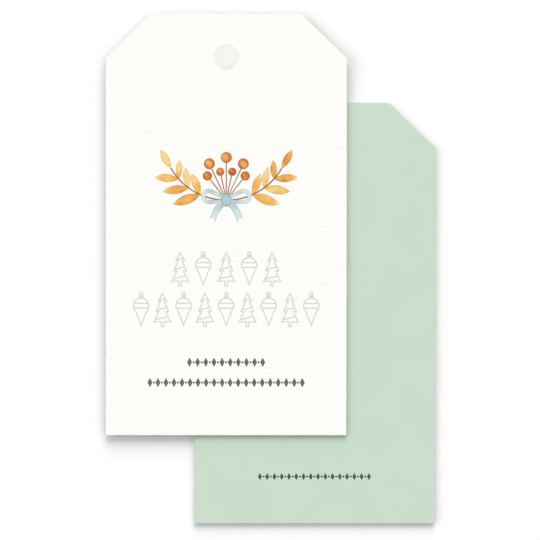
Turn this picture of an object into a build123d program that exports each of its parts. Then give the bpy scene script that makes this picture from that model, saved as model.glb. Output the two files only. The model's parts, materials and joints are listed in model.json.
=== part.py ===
from build123d import *

import os

# A pair of gift tags. The upper tag lies face up across the lower tag, which lies face down.
# Each tag is two papers glued back to back and die-cut together, with two cut corners and a hang hole.
# Every print is a thin solid of ink that has soaked into its paper, flush with the surface.
# Millimetres. +Z is up, and +Y points to the hole end of the tags.
# The origin lies on the table, under the middle of the pair.

# Die-cut outline of a tag
TAG_WIDTH = 50.8
TAG_LENGTH = 88.9
CORNER_CUT_ACROSS = 9.8
CORNER_CUT_DOWN = 9.4
HOLE_DIAMETER = 5.3
HOLE_FROM_TOP = 9.2

# Papers, glue and ink
FACE_SHEET_THICKNESS = 0.40
GLUE_FILM_THICKNESS = 0.04
BACKING_SHEET_THICKNESS = 0.36
INK_DEPTH = 0.03
TAG_THICKNESS = BACKING_SHEET_THICKNESS + GLUE_FILM_THICKNESS + FACE_SHEET_THICKNESS

# How far the upper tag is fanned out from the lower one, and the air between them
FAN_ACROSS = 18.7
FAN_DOWN = 18.7
STACK_GAP = 0.02

# Two rows of outlined ornaments, across the middle of the face
ORNAMENT_HEIGHT = 7.5
ORNAMENT_LINE = 0.28
ORNAMENT_ROW_GAP = 1.1
ORNAMENTS_FROM_BOTTOM = 30.9
TOP_ROW_WIDTH = 23.4
TOP_ROW_COUNT = 5
BOTTOM_ROW_WIDTH = 39.4
BOTTOM_ROW_COUNT = 9

# Fir tree ornament, as shares of its half width and of the ornament height, from the foot up
TREE_WIDTH = 4.0
TREE_OUTLINE_SHARES = (
    (0.2, 0.0), (0.2, 0.13), (1.0, 0.13), (0.46, 0.42),
    (0.78, 0.42), (0.32, 0.70), (0.56, 0.70), (0.0, 1.0),
)
TREE_GARLAND_HEIGHT_SHARES = (0.26, 0.52, 0.78)
TREE_GARLAND_SLANT_DEG = 14

# Glass drop ornament: a ball with two bands, a pointed tail, a cap and a hanger ring
BALL_DIAMETER = 3.5
BALL_BAND_SPACING = 1.0
DROP_TAIL_ROOT_SHARE = 0.7
CAP_WIDTH = 1.0
CAP_HEIGHT = 0.5
HANGER_DIAMETER = 1.0

# Laurel spray: two branches that part from a bow and curve up to the sides
KNOT_ABOVE_ORNAMENTS = 10.7
STEM_ARC_RADIUS = 13.5
STEM_ARC_DEG = 60
STEM_LINE = 0.32
LEAF_LENGTH = 6.2
LEAF_WIDTH = 2.05
LEAF_PAIRS = 3
FIRST_PAIR_DEG = 24
LEAF_SPREAD_DEG = 44
INNER_LEAF_SHARE = 0.8
TIP_LEAF_SHARE = 0.75

# Berries on stalks that fan out above the knot: angle from upright, stalk share and size share
STALK_LENGTH = 9.0
STALK_LINE = 0.24
BERRY_DIAMETER = 2.3
BERRY_FAN_DEG = (-38, -25, -12, 0, 12, 25, 38)
BERRY_STALK_SHARES = (0.72, 0.94, 0.68, 1.0, 0.68, 0.94, 0.72)
BERRY_SIZE_SHARES = (0.85, 1.0, 0.75, 1.0, 0.75, 1.0, 0.85)

# Ribbon bow over the crossing of the branches
LOOP_LENGTH = 5.4
LOOP_WIDTH = 3.2
LOOP_BAND = 0.9
LOOP_RISE_DEG = 12
KNOT_WIDTH = 2.2
KNOT_HEIGHT = 2.8
RIBBON_WIDTH = 1.4
RIBBON_TAIL_LENGTH = 5.3
RIBBON_TAIL_SAG = 0.5
RIBBON_TAIL_DROP_DEG = 56
RIBBON_NOTCH = 0.75

# Two centred lines of lozenges and dots under the ornaments
LOZENGES_BELOW_ORNAMENTS = 6.4
LOZENGE_LINE_GAP = 2.3
SHORT_LINE_WIDTH = 16.5
SHORT_LINE_COUNT = 10
LONG_LINE_WIDTH = 33.2
LONG_LINE_COUNT = 20
LOZENGE_WIDTH = 1.05
LOZENGE_HEIGHT = 2.0
DOT_DIAMETER = 0.45

# One smaller line of lozenges and dots on the back
BACK_LINE_FROM_BOTTOM = 9.9
BACK_LINE_WIDTH = 23.9
BACK_LINE_COUNT = 16
BACK_LOZENGE_WIDTH = 0.85
BACK_LOZENGE_HEIGHT = 1.5
BACK_DOT_DIAMETER = 0.42

# Heights of the prints on a tag, from its centre upwards
TOP_ROW_FOOT = ORNAMENTS_FROM_BOTTOM - TAG_LENGTH / 2 + ORNAMENT_ROW_GAP / 2
BOTTOM_ROW_FOOT = TOP_ROW_FOOT - ORNAMENT_ROW_GAP - ORNAMENT_HEIGHT
KNOT_Y = TOP_ROW_FOOT + ORNAMENT_HEIGHT + KNOT_ABOVE_ORNAMENTS
SHORT_LINE_Y = BOTTOM_ROW_FOOT - LOZENGES_BELOW_ORNAMENTS - LOZENGE_HEIGHT / 2
LONG_LINE_Y = SHORT_LINE_Y - LOZENGE_LINE_GAP - LOZENGE_HEIGHT
BACK_LINE_Y = BACK_LINE_FROM_BOTTOM - TAG_LENGTH / 2


def turned(shape, degrees):
    return Rot(0, 0, degrees) * shape


def both_sides(shape):
    """A shape and its mirror image across the tag's centre line."""
    return shape + mirror(shape, about=Plane.YZ)


def row_places(count, width, end_width):
    """Evenly spaced centres for a row of this width, whose end items are end_width wide."""
    pitch = (width - end_width) / (count - 1)
    return [(index - (count - 1) / 2) * pitch for index in range(count)]


# Papers


def tag_outline():
    half_width = TAG_WIDTH / 2
    half_length = TAG_LENGTH / 2
    right_side = [
        (half_width, -half_length),
        (half_width, half_length - CORNER_CUT_DOWN),
        (half_width - CORNER_CUT_ACROSS, half_length),
    ]
    left_side = [(-x, y) for x, y in reversed(right_side)]
    card = make_face(Polyline(right_side + left_side, close=True))
    return card - Pos(0, half_length - HOLE_FROM_TOP) * Circle(HOLE_DIAMETER / 2)


def paper(bottom, thickness):
    return Pos(0, 0, bottom) * extrude(tag_outline(), amount=thickness)


# Outlined ornaments


def outlined(shape):
    """The line that runs just inside the edge of a shape."""
    return shape - offset(shape, amount=-ORNAMENT_LINE, kind=Kind.INTERSECTION)


def fir_tree():
    half_width = TREE_WIDTH / 2
    right_side = [(x * half_width, y * ORNAMENT_HEIGHT) for x, y in TREE_OUTLINE_SHARES]
    left_side = [(-x, y) for x, y in reversed(right_side[:-1])]
    tree = make_face(Polyline(right_side + left_side, close=True))
    drawing = outlined(tree)
    for height_share in TREE_GARLAND_HEIGHT_SHARES:
        garland = turned(Rectangle(TREE_WIDTH, ORNAMENT_LINE), TREE_GARLAND_SLANT_DEG)
        drawing += tree & Pos(0, height_share * ORNAMENT_HEIGHT) * garland
    return drawing


def glass_drop():
    """The hanger is set half a line into the cap, and the cap half a line into the ball."""
    half_line = ORNAMENT_LINE / 2
    radius = BALL_DIAMETER / 2
    cap_top = ORNAMENT_HEIGHT - HANGER_DIAMETER + half_line
    cap_foot = cap_top - CAP_HEIGHT
    centre = cap_foot + half_line - radius
    root = DROP_TAIL_ROOT_SHARE * radius
    tail = make_face(Polyline((-root, centre - root), (0, 0), (root, centre - root), close=True))
    ball = Pos(0, centre) * Circle(radius)
    drawing = outlined(ball + tail)
    for side in (-1, 1):
        band = Rectangle(BALL_DIAMETER, ORNAMENT_LINE)
        drawing += ball & Pos(0, centre + side * BALL_BAND_SPACING / 2) * band
    drawing += Pos(0, cap_foot + CAP_HEIGHT / 2) * Rectangle(CAP_WIDTH, CAP_HEIGHT)
    hanger = outlined(Circle(HANGER_DIAMETER / 2))
    return drawing + Pos(0, ORNAMENT_HEIGHT - HANGER_DIAMETER / 2) * hanger


def ornament_row(places, foot, ornaments):
    """A row that takes the ornaments in turn."""
    row = Sketch()
    for index, x in enumerate(places):
        row += Pos(x, foot) * ornaments[index % len(ornaments)]
    return row


# Laurel spray with berries and a bow


def ribbon_loop():
    """A drop-shaped loop of ribbon, from the knot along +X, with its opening."""
    round_end = LOOP_WIDTH / 2
    far_circle = Pos(LOOP_LENGTH - round_end, 0) * Circle(round_end)
    loop = make_hull(far_circle.edges() + Circle(RIBBON_WIDTH / 2).edges())
    return loop - offset(loop, amount=-LOOP_BAND)


def ribbon_tail():
    """A sagging end of ribbon, from the knot along +X, with a notched tip."""
    half_ribbon = RIBBON_WIDTH / 2
    top_edge = SagittaArc((0, half_ribbon), (RIBBON_TAIL_LENGTH, half_ribbon), RIBBON_TAIL_SAG)
    bottom_edge = SagittaArc((0, -half_ribbon), (RIBBON_TAIL_LENGTH, -half_ribbon), RIBBON_TAIL_SAG)
    notched_tip = Polyline(top_edge @ 1, (RIBBON_TAIL_LENGTH - RIBBON_NOTCH, 0), bottom_edge @ 1)
    return make_face(top_edge + bottom_edge + notched_tip + Line(top_edge @ 0, bottom_edge @ 0))


def bow():
    """Two loops, two tails and the knot, around the crossing of the branches."""
    right_side = turned(ribbon_loop(), LOOP_RISE_DEG) + turned(ribbon_tail(), -RIBBON_TAIL_DROP_DEG)
    return both_sides(right_side) + Ellipse(KNOT_WIDTH / 2, KNOT_HEIGHT / 2)


def berries():
    spread = Sketch()
    for fan, stalk_share, size_share in zip(BERRY_FAN_DEG, BERRY_STALK_SHARES, BERRY_SIZE_SHARES):
        berry = Circle(size_share * BERRY_DIAMETER / 2)
        spread += turned(Pos(0, stalk_share * STALK_LENGTH) * berry, -fan)
    return spread


def stems():
    """The two branches, and a stalk under each berry."""
    arc = CenterArc((0, STEM_ARC_RADIUS), STEM_ARC_RADIUS, -90, STEM_ARC_DEG)
    drawing = both_sides(trace(arc, STEM_LINE))
    for fan, stalk_share in zip(BERRY_FAN_DEG, BERRY_STALK_SHARES):
        length = stalk_share * STALK_LENGTH
        drawing += turned(Pos(0, length / 2) * Rectangle(STALK_LINE, length), -fan)
    return drawing


def leaf(size_share):
    """A leaf bounded by two arcs, along +X, whose base starts within the line of its branch."""
    length = size_share * LEAF_LENGTH
    edge = SagittaArc((0, 0), (length, 0), size_share * LEAF_WIDTH / 2)
    return Pos(-STEM_LINE / 4, 0) * make_face(edge + mirror(edge, about=Plane.XZ))


def leaves():
    """Pairs of leaves that shrink along each branch, and one leaf at its tip."""
    branch = Sketch()
    for pair in range(LEAF_PAIRS + 1):
        along_share = pair / LEAF_PAIRS
        along = FIRST_PAIR_DEG + along_share * (STEM_ARC_DEG - FIRST_PAIR_DEG)
        size_share = 1 - along_share * (1 - TIP_LEAF_SHARE)
        place = Pos(0, STEM_ARC_RADIUS) * Rot(0, 0, along) * Pos(0, -STEM_ARC_RADIUS)
        if pair == LEAF_PAIRS:
            branch += place * leaf(size_share)
        else:
            branch += place * turned(leaf(size_share), -LEAF_SPREAD_DEG)
            branch += place * turned(leaf(size_share * INNER_LEAF_SHARE), LEAF_SPREAD_DEG)
    return both_sides(branch)


# Lines of lozenges and dots


def lozenge_line(places, lozenge_width, lozenge_height, dot_diameter):
    """A line of lozenges with a dot between each two."""
    half_width = lozenge_width / 2
    half_height = lozenge_height / 2
    corners = [(half_width, 0), (0, half_height), (-half_width, 0), (0, -half_height)]
    lozenge = make_face(Polyline(corners, close=True))
    line = Sketch() + [Pos(x, 0) * lozenge for x in places]
    for left, right in zip(places, places[1:]):
        line += Pos((left + right) / 2, 0) * Circle(dot_diameter / 2)
    return line


def face_line(count, width):
    places = row_places(count, width, LOZENGE_WIDTH)
    return lozenge_line(places, LOZENGE_WIDTH, LOZENGE_HEIGHT, DOT_DIAMETER)


def back_line():
    places = row_places(BACK_LINE_COUNT, BACK_LINE_WIDTH, BACK_LOZENGE_WIDTH)
    return lozenge_line(places, BACK_LOZENGE_WIDTH, BACK_LOZENGE_HEIGHT, BACK_DOT_DIAMETER)


# One tag, with its back on the plane z = 0 and its centre at the origin


def face_drawings():
    """The drawings on the face, from the uppermost ink down."""
    knot_place = Pos(0, KNOT_Y)
    tree = fir_tree()
    drop = glass_drop()
    top_places = row_places(TOP_ROW_COUNT, TOP_ROW_WIDTH, TREE_WIDTH)
    bottom_places = row_places(BOTTOM_ROW_COUNT, BOTTOM_ROW_WIDTH, BALL_DIAMETER)
    return {
        "bow_print": knot_place * bow(),
        "berry_print": knot_place * berries(),
        "stem_print": knot_place * stems(),
        "leaf_print": knot_place * leaves(),
        "ornament_top_row": ornament_row(top_places, TOP_ROW_FOOT, (tree, drop)),
        "ornament_bottom_row": ornament_row(bottom_places, BOTTOM_ROW_FOOT, (drop, tree)),
        "lozenge_short_line": Pos(0, SHORT_LINE_Y) * face_line(SHORT_LINE_COUNT, SHORT_LINE_WIDTH),
        "lozenge_long_line": Pos(0, LONG_LINE_Y) * face_line(LONG_LINE_COUNT, LONG_LINE_WIDTH),
    }


def ink(drawing, bottom):
    return Pos(0, 0, bottom) * extrude(drawing, amount=INK_DEPTH)


def tag():
    """Every piece of one tag, by name. Each ink leaves out what is printed over it."""
    face_bottom = BACKING_SHEET_THICKNESS + GLUE_FILM_THICKNESS
    face_ink_bottom = TAG_THICKNESS - INK_DEPTH
    pieces = {}
    printed_area = Sketch()
    for name, drawing in face_drawings().items():
        pieces[name] = ink(drawing - printed_area, face_ink_bottom)
        printed_area += drawing
    pieces["lozenge_back_line"] = ink(Pos(0, BACK_LINE_Y) * back_line(), 0)
    pieces["face_sheet"] = paper(face_bottom, FACE_SHEET_THICKNESS) - ink(printed_area, face_ink_bottom)
    pieces["glue_film"] = paper(BACKING_SHEET_THICKNESS, GLUE_FILM_THICKNESS)
    pieces["backing_sheet"] = paper(0, BACKING_SHEET_THICKNESS) - pieces["lozenge_back_line"]
    return pieces


# The pair, as it lies on the table

UPPER_PLACE = Pos(-FAN_ACROSS / 2, FAN_DOWN / 2, TAG_THICKNESS + STACK_GAP)
LOWER_PLACE = Pos(FAN_ACROSS / 2, -FAN_DOWN / 2, TAG_THICKNESS) * Rot(0, 180, 0)

os.makedirs("parts", exist_ok=True)
for name, piece in tag().items():
    export_step(UPPER_PLACE * piece, f"parts/upper_{name}.step")
    export_step(LOWER_PLACE * piece, f"parts/lower_{name}.step")
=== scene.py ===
# Dresses a fanned pair of gift tags: felt-marked ivory faces, smooth mint backs and painted prints.
import json
from math import asin, cos, pi, radians, sin, sqrt

import bmesh
import bpy
from mathutils import Matrix, Vector


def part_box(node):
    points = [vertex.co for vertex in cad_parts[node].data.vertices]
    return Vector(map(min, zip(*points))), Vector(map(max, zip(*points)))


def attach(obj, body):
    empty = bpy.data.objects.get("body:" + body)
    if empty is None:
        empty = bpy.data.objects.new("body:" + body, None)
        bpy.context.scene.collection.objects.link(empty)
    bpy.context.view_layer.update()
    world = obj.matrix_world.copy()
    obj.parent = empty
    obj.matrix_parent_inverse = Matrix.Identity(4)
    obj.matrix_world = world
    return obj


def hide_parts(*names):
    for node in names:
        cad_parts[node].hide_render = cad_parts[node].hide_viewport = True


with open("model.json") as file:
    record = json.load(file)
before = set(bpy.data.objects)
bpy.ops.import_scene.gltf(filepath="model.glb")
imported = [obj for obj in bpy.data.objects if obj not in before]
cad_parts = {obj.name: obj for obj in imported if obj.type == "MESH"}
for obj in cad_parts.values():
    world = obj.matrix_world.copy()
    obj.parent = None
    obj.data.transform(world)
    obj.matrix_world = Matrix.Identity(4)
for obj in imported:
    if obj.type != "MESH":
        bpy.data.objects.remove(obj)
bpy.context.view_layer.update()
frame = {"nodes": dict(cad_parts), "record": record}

MM = 0.001

# Papers: the outline and thicknesses come from the frame, the rest is how the die cuts them
face_low, face_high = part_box("upper_face_sheet")
back_low, back_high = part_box("upper_backing_sheet")
TAG_WIDTH = face_high.x - face_low.x
TAG_LENGTH = face_high.y - face_low.y
TAG_THICKNESS = face_high.z - back_low.z
FACE_THICKNESS = face_high.z - face_low.z
BACK_THICKNESS = back_high.z - back_low.z
CORNER_CUT_ACROSS = 9.8 * MM
CORNER_CUT_DOWN = 9.4 * MM
HOLE_FROM_TOP = 9.2 * MM
HOLE_RADIUS = frame["record"]["mounts"][0]["dims"]["r_mm"] * MM
HOLE_CENTRE = Vector((0, TAG_LENGTH / 2 - HOLE_FROM_TOP))
HOLE_STEPS = 96
FACE_EDGE_ROLL = 0.07 * MM
BACK_EDGE_ROLL = 0.03 * MM
HOLE_ROLL_SHARE = 0.3
ROLL_STEPS = 3
SHARP_EDGE = radians(10)

# Paper surface: dashes pressed by the felt, fibres, streaks along a cut edge, and a mottle of the tone
FELT_DASH_LENGTH = 1.7 * MM
FELT_DASH_WIDTH = 0.6 * MM
FELT_DASH_SPACING = 3.7 * MM
FELT_DASH_SHARE = 0.13
FELT_DASH_SKEW = 0.3
FELT_DASH_FADE = (0.2, 1.0)
FIBRE_SIZE = 0.12 * MM
FIBRE_CELL = (FIBRE_SIZE * 2, FIBRE_SIZE, FIBRE_SIZE)
STREAK_CELL = Vector((0.5, 0.5, 0.05)) * MM
STREAK_BASE = 0.5
MOTTLE_SIZE = 9 * MM
MOTTLE_FIBRE_SHARE = 0.2
MOTTLE_RISE = (0.3, 0.7)
PAPER_ROUGHNESS = 0.85
TOOTH_ROUGHNESS = 0.1
MATT_SPECULAR = 0.05
PLAIN_DETAIL = 2.0
FINE_DETAIL = 3.0

# Watercolour: sizes of its pools and grains, what they add to its load, and the loads at which it deepens
POOL_SIZE = 2.2 * MM
GRAIN_SIZE = 0.16 * MM
POOL_LOAD = 1.5
GRAIN_LOAD = 0.25
PALE_LOAD = -0.9
MIDDLE_RISE = (0.0, 0.5)
DEEP_RISE = (0.45, 1.0)
RIM_GRAIN = 0.1
RIM_RISE = (0.78, 1.05)
RIM_STRENGTH = 0.65
WASH_SURFACE = {"felt": 0.5, "fibre": 0.3, "bump": 0.012 * MM, "roughness": 0.75}

# Brush strokes: the load that each part of a stroke adds, and what stays pale
LEAF_LOAD = 0.1
LEAF_TINT_LOAD = 0.75
LEAF_TIP_LOAD = -0.35
LEAF_VEIN_FADE = (0.03, 0.16)
LEAF_VEIN_STRENGTH = 0.6
BERRY_TINT_LOAD = 0.3
BERRY_RIM_LOAD = 0.5
BERRY_SPOT_RIGHT = -0.3
BERRY_SPOT_UP = 0.35
BERRY_SPOT_FADE = (0.05, 0.4)
BERRY_SPOT_STRENGTH = 0.8
BOW_KNOT_LOAD = 0.6
STEM_LOAD = 0.2
STEM_END_LOAD = 0.3

# Printing ink: where the paper's tooth holds it off, and how that drifts
PRESS_TOOTH_CELL = (0.14 * MM, 0.1 * MM, 0.14 * MM)
PRESS_DRIFT_SIZE = 3 * MM
PRESS_DRIFT_WEIGHT = 0.3
PRESS_THIN_RISE = (0.55, 0.95)
PRESS_SURFACE = {"felt": 0.5, "fibre": 0.5, "bump": 0.006 * MM, "roughness": 0.7}

# Inks: how deep they go, the levels that keep them apart, in steps under the uppermost ink, and their weld
INK_DEPTH = 0.028 * MM
INK_STEP = 0.001 * MM
FILL_LEVEL = 1
LOOP_LEVEL = 1
TAIL_LEVEL = 2
STEM_LEVEL = 3
LEAF_LEVEL = 4
PAPER_LEVEL = 6
MIRROR_LEVEL_DROP = 0.5
WELD = 0.0002 * MM

# Ornament rows
ORNAMENT_HEIGHT = 7.5 * MM
ORNAMENT_LINE = 0.28 * MM
ORNAMENT_ROW_GAP = 1.1 * MM
ORNAMENTS_FROM_BOTTOM = 30.9 * MM
TOP_ROW_WIDTH = 23.4 * MM
TOP_ROW_COUNT = 5
BOTTOM_ROW_WIDTH = 39.4 * MM
BOTTOM_ROW_COUNT = 9
TREE_WIDTH = 4.0 * MM
TREE_OUTLINE_SHARES = (
    (0.2, 0.0), (0.2, 0.13), (1.0, 0.13), (0.46, 0.42),
    (0.78, 0.42), (0.32, 0.70), (0.56, 0.70), (0.0, 1.0),
)
TREE_GARLAND_HEIGHT_SHARES = (0.26, 0.52, 0.78)
TREE_GARLAND_SLANT = radians(14)
BALL_RADIUS = 1.75 * MM
BALL_ARC_START = radians(-45)
BALL_ARC = radians(270)
BALL_STEPS = 36
BALL_BAND_SPACING = 1.0 * MM
CAP_WIDTH = 1.0 * MM
CAP_HEIGHT = 0.5 * MM
HANGER_RADIUS = 0.5 * MM
HANGER_STEPS = 20

# Laurel spray
KNOT_ABOVE_ORNAMENTS = 10.7 * MM
STEM_ARC_RADIUS = 13.5 * MM
STEM_ARC = radians(60)
STEM_LINE = 0.32 * MM
STEM_POINTS_ALONG = 97
LEAF_LENGTH = 6.2 * MM
LEAF_WIDTH = 2.05 * MM
LEAF_POINTS_ALONG = 17
LEAF_POINTS_ACROSS = 9
LEAF_PAIRS = 3
FIRST_PAIR = radians(24)
LEAF_SPREAD = radians(44)
LEAF_SEAT = STEM_LINE / 4
LEAF_SEED = 5
INNER_LEAF_SHARE = 0.8
TIP_LEAF_SHARE = 0.75
STALK_LENGTH = 9.0 * MM
STALK_LINE = 0.24 * MM
STALK_POINTS_ALONG = 9
STALK_FOOT = 1.1 * MM
LINE_POINTS_ACROSS = 3
BERRY_RADIUS = 1.15 * MM
BERRY_STEPS = 36
BERRY_SEED = 11
BERRY_FAN_DEG = (-38, -25, -12, 0, 12, 25, 38)
BERRY_STALK_SHARES = (0.72, 0.94, 0.68, 1.0, 0.68, 0.94, 0.72)
BERRY_SIZE_SHARES = (0.85, 1.0, 0.75, 1.0, 0.75, 1.0, 0.85)

# Ribbon bow
LOOP_LENGTH = 5.4 * MM
LOOP_WIDTH = 3.2 * MM
LOOP_BAND = 0.9 * MM
LOOP_RISE = radians(12)
LOOP_STEPS = 32
LOOP_NEAR_STEPS = LOOP_STEPS // 4
KNOT_WIDTH = 2.2 * MM
KNOT_HEIGHT = 2.8 * MM
KNOT_STEPS = 32
KNOT_MIDDLE_ALONG = 0.4
RIBBON_WIDTH = 1.4 * MM
RIBBON_LANE_EDGES = (-1.0, -0.5, 0.0, 0.5, 1.0)
RIBBON_TAIL_LENGTH = 5.3 * MM
RIBBON_TAIL_SAG = 0.5 * MM
RIBBON_TAIL_DROP = radians(56)
RIBBON_TAIL_STEPS = 12
RIBBON_NOTCH = 0.75 * MM

# Lines of lozenges and dots
LOZENGES_BELOW_ORNAMENTS = 6.4 * MM
LOZENGE_LINE_GAP = 2.3 * MM
LOZENGE_WIDTH = 1.05 * MM
LOZENGE_HEIGHT = 2.0 * MM
LOZENGE_CORNERS = 4
DOT_DIAMETER = 0.45 * MM
DOT_STEPS = 16
SHORT_LINE_WIDTH = 16.5 * MM
SHORT_LINE_COUNT = 10
LONG_LINE_WIDTH = 33.2 * MM
LONG_LINE_COUNT = 20
BACK_LINE_FROM_BOTTOM = 9.9 * MM
BACK_LINE_WIDTH = 23.9 * MM
BACK_LINE_COUNT = 16
BACK_LOZENGE_WIDTH = 0.85 * MM
BACK_LOZENGE_HEIGHT = 1.5 * MM
BACK_DOT_DIAMETER = 0.42 * MM

# Heights of the prints on a tag, from its centre upwards
TOP_ROW_FOOT = ORNAMENTS_FROM_BOTTOM - TAG_LENGTH / 2 + ORNAMENT_ROW_GAP / 2
BOTTOM_ROW_FOOT = TOP_ROW_FOOT - ORNAMENT_ROW_GAP - ORNAMENT_HEIGHT
KNOT_Y = TOP_ROW_FOOT + ORNAMENT_HEIGHT + KNOT_ABOVE_ORNAMENTS
SHORT_LINE_Y = BOTTOM_ROW_FOOT - LOZENGES_BELOW_ORNAMENTS - LOZENGE_HEIGHT / 2
LONG_LINE_Y = SHORT_LINE_Y - LOZENGE_LINE_GAP - LOZENGE_HEIGHT
BACK_LINE_Y = BACK_LINE_FROM_BOTTOM - TAG_LENGTH / 2

# Floor, and its painted glow under the upper hole, where the shares are lengths in hole radii
FLOOR_DROP = 0.27 * MM
FLOOR_HALF_SIZE = 1500 * MM
FLOOR_WHITE = 1.0
FLOOR_BOUNCE = 0.4
FLOOR_GLOW = 0.02
HOLE_GLOW = 0.157
HOLE_SHADE_GLOW = 0.555
LIT_SPOT_SHARES = (0.1, -0.55)
SHADE_RISE_SHARES = (0.2, 1.6)
GLOW_FADE_SHARES = (1.7, 2.2)
GLOW_TONE = (1.0, 0.945, 0.94, 1.0)

# Light: how much of a white floor's light each lamp gives, and how it leans, spreads and turns, in degrees
SKY_LEVEL = 0.02
SKY_TONE = (1.0, 1.0, 1.0, 1.0)
LAMPS = {
    "key lamp": {"share": 0.49, "lean": 58, "spread": 54, "turn": 0},
    "left lamp": {"share": 0.26, "lean": 58, "spread": 55, "turn": 90},
    "right lamp": {"share": 0.18, "lean": 52, "spread": 64, "turn": -90},
    "front lamp": {"share": 0.05, "lean": 58, "spread": 55, "turn": 180},
}

# Camera
CAMERA_LENS_MM = 300
CAMERA_PLACE = Vector((-16.17, 33.66, 949.94)) * MM
CAMERA_TURN_DEG = (-2.044, -0.967, 0.079)


# Where the tags lie

FLIP_OVER = Matrix.Rotation(pi, 4, "Y")


def tag_place(tag):
    """Where a tag lies: its own frame has its centre at the origin, its back at z = 0 and its face up."""
    low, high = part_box(f"{tag}_face_sheet")
    tag_back_low, tag_back_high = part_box(f"{tag}_backing_sheet")
    centre = (low + high) / 2
    if low.z > tag_back_low.z:
        return Matrix.Translation((centre.x, centre.y, tag_back_low.z))
    return Matrix.Translation((centre.x, centre.y, tag_back_high.z)) @ FLIP_OVER


TAG_PLACES = {tag: tag_place(tag) for tag in ("upper", "lower")}


# Node trees


class Field:
    """A value that varies over a node tree. Arithmetic with it adds Math nodes."""

    def __init__(self, socket):
        self.socket = socket
        self.tree = socket.id_data

    def math(self, operation, *others):
        node = self.tree.nodes.new("ShaderNodeMath")
        node.operation = operation
        for socket, value in zip(node.inputs, (self, *others)):
            plug(socket, value)
        return Field(node.outputs["Value"])

    def __add__(self, other):
        return self.math("ADD", other)

    def __sub__(self, other):
        return self.math("SUBTRACT", other)

    def __mul__(self, other):
        return self.math("MULTIPLY", other)

    def __truediv__(self, other):
        return self.math("DIVIDE", other)

    def __mod__(self, other):
        return self.math("MODULO", other)

    def __rsub__(self, other):
        return self * -1 + other


def plug(socket, value):
    """Links a field to a socket, or sets the socket to a plain value."""
    if isinstance(value, Field):
        value.tree.links.new(value.socket, socket)
    else:
        socket.default_value = value


def add_node(tree, kind, inputs=None, **settings):
    """Adds a node, makes its settings and then plugs its inputs."""
    node = tree.nodes.new(kind)
    for name, value in settings.items():
        setattr(node, name, value)
    for key, value in (inputs or {}).items():
        plug(node.inputs[key], value)
    return node


def new_field(tree, kind, inputs=None, output=0, **settings):
    """Adds a node and takes one of its outputs."""
    return Field(add_node(tree, kind, inputs, **settings).outputs[output])


def new_group(name, kind, inputs, outputs):
    """A node group with named sockets, its inputs as fields, and its output node."""
    tree = bpy.data.node_groups.new(name, kind)
    for direction, sockets in (("INPUT", inputs), ("OUTPUT", outputs)):
        for label, socket_type in sockets.items():
            tree.interface.new_socket(label, in_out=direction, socket_type=f"NodeSocket{socket_type}")
    entry = tree.nodes.new("NodeGroupInput")
    given = {label: Field(entry.outputs[label]) for label in inputs}
    return tree, given, tree.nodes.new("NodeGroupOutput")


def vector(tree, x, y, z):
    return new_field(tree, "ShaderNodeCombineXYZ", {"X": x, "Y": y, "Z": z})


def x_and_y(place):
    axes = add_node(place.tree, "ShaderNodeSeparateXYZ", {"Vector": place})
    return Field(axes.outputs["X"]), Field(axes.outputs["Y"])


def hypotenuse(x, y):
    return (x * x + y * y).math("SQRT")


def smooth_step(value, low, high):
    """0 below low, 1 above high, and a smooth rise between them."""
    limits = {"Value": value, "From Min": low, "From Max": high}
    return new_field(value.tree, "ShaderNodeMapRange", limits, interpolation_type="SMOOTHSTEP")


# Shading helpers


def object_place(tree):
    return new_field(tree, "ShaderNodeTexCoord", output="Object")


def attribute(tree, name):
    return new_field(tree, "ShaderNodeAttribute", attribute_name=name, output="Fac")


def in_cells(place, cell):
    """A place, measured in cells of this size along X, Y and Z."""
    per_cell = tuple(1 / size for size in cell)
    return new_field(place.tree, "ShaderNodeVectorMath", {0: place, 1: per_cell}, operation="MULTIPLY")


def noise(place, cell, detail=PLAIN_DETAIL):
    """Smooth noise between 0 and 1, with cells of this size along X, Y and Z."""
    inputs = {"Vector": in_cells(place, cell), "Scale": 1.0, "Detail": detail}
    return new_field(place.tree, "ShaderNodeTexNoise", inputs)


def mix_colours(factor, first, second):
    """Two colours mixed. A Mix node's sockets share their names, so the colour ones are taken by number."""
    inputs = {0: factor, 6: first, 7: second}
    return new_field(factor.tree, "ShaderNodeMix", inputs, output=2, data_type="RGBA")


def colour(red, green, blue):
    """A colour as it is seen, from 0 to 255, turned into light by the sRGB curve."""
    shares = [level / 255 for level in (red, green, blue)]
    light = [s / 12.92 if s <= 0.04045 else ((s + 0.055) / 1.055) ** 2.4 for s in shares]
    return (*light, 1.0)


# Surface effects that several materials share


def felt_dashes(place):
    """1 in short dashes that the felt has pressed at random places, and 0 between them."""
    tree = place.tree
    scaled = in_cells(place, (FELT_DASH_SPACING,) * 3)
    inputs = {"Vector": scaled, "Scale": 1.0}
    cells = add_node(tree, "ShaderNodeTexVoronoi", inputs, voronoi_dimensions="2D")
    centre = Field(cells.outputs["Position"])
    x, y = x_and_y(new_field(tree, "ShaderNodeVectorMath", {0: scaled, 1: centre}, operation="SUBTRACT"))
    chance = add_node(tree, "ShaderNodeSeparateColor", {"Color": Field(cells.outputs["Color"])})
    lean = Field(chance.outputs["Green"]) - 0.5
    along = x * (2 * FELT_DASH_SPACING / FELT_DASH_LENGTH)
    across = (y + x * lean * FELT_DASH_SKEW) * (2 * FELT_DASH_SPACING / FELT_DASH_WIDTH)
    dash = 1 - smooth_step(hypotenuse(along, across), *FELT_DASH_FADE)
    strength = smooth_step(Field(chance.outputs["Red"]), 1 - FELT_DASH_SHARE, 1 - FELT_DASH_SHARE / 2)
    return dash * strength


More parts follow.
